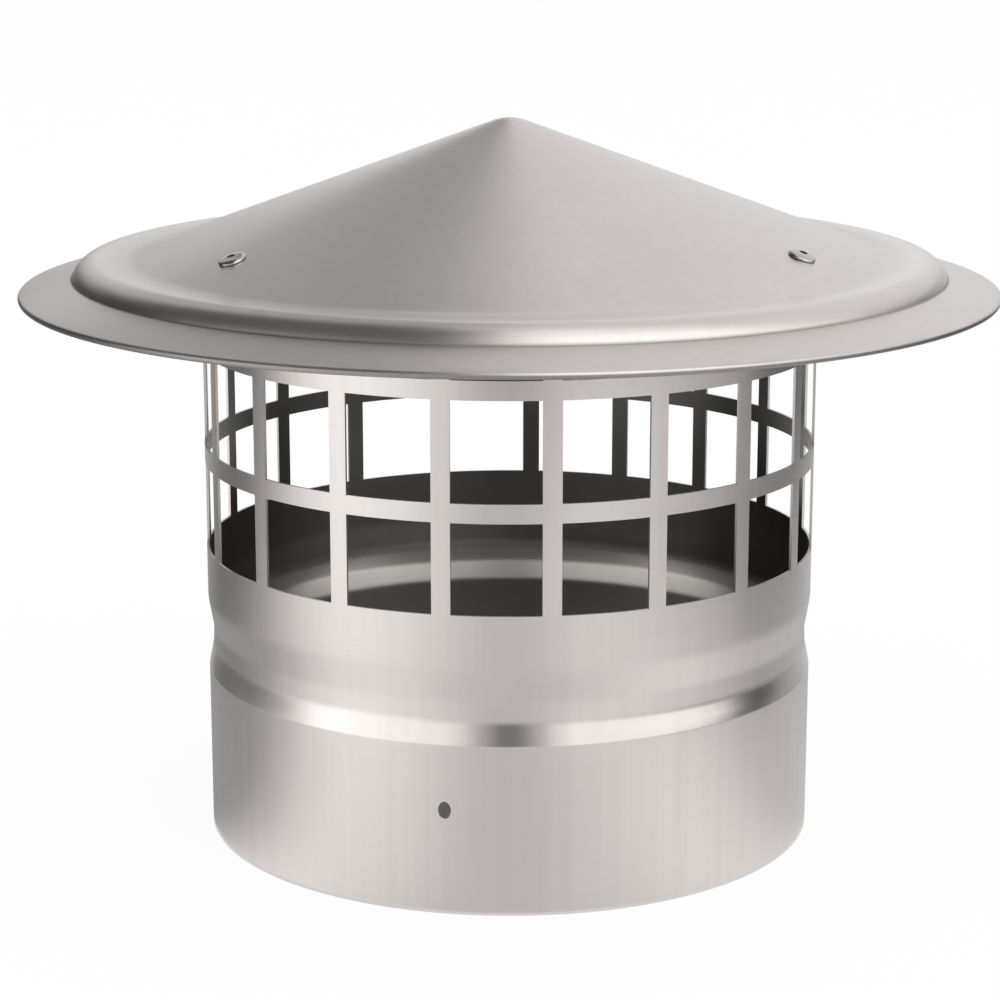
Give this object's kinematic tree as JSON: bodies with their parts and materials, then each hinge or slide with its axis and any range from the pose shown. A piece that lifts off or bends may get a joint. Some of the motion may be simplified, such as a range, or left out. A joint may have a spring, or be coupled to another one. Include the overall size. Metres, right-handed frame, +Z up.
{
  "type": "chimney cap",
  "caption": "Round sheet-steel chimney cap: a conical hood with a flared brim, riveted on a grooved collar with punched windows.",
  "frame": {"origin": "centre of the collar's lower rim, on the plane it stands on", "axes": "+Z up along the collar's axis to the tip of the hood, -Y to the front that the picture shows, +X to its right"},
  "size_m": [0.2372, 0.2372, 0.175],
  "materials": {
    "hood_steel": "satin stainless sheet, spun",
    "collar_steel": "satin stainless sheet, rolled",
    "rivet_steel": "bright stainless",
    "mandrel_steel": "dull, broken off"
  },
  "bodies": {
    "root": {"hood": "hood_steel", "collar": "collar_steel", "rivet_body_1": "rivet_steel", "rivet_body_2": "rivet_steel", "rivet_body_3": "rivet_steel", "rivet_mandrel_1": "mandrel_steel", "rivet_mandrel_2": "mandrel_steel", "rivet_mandrel_3": "mandrel_steel"}
  },
  "joints": []
}
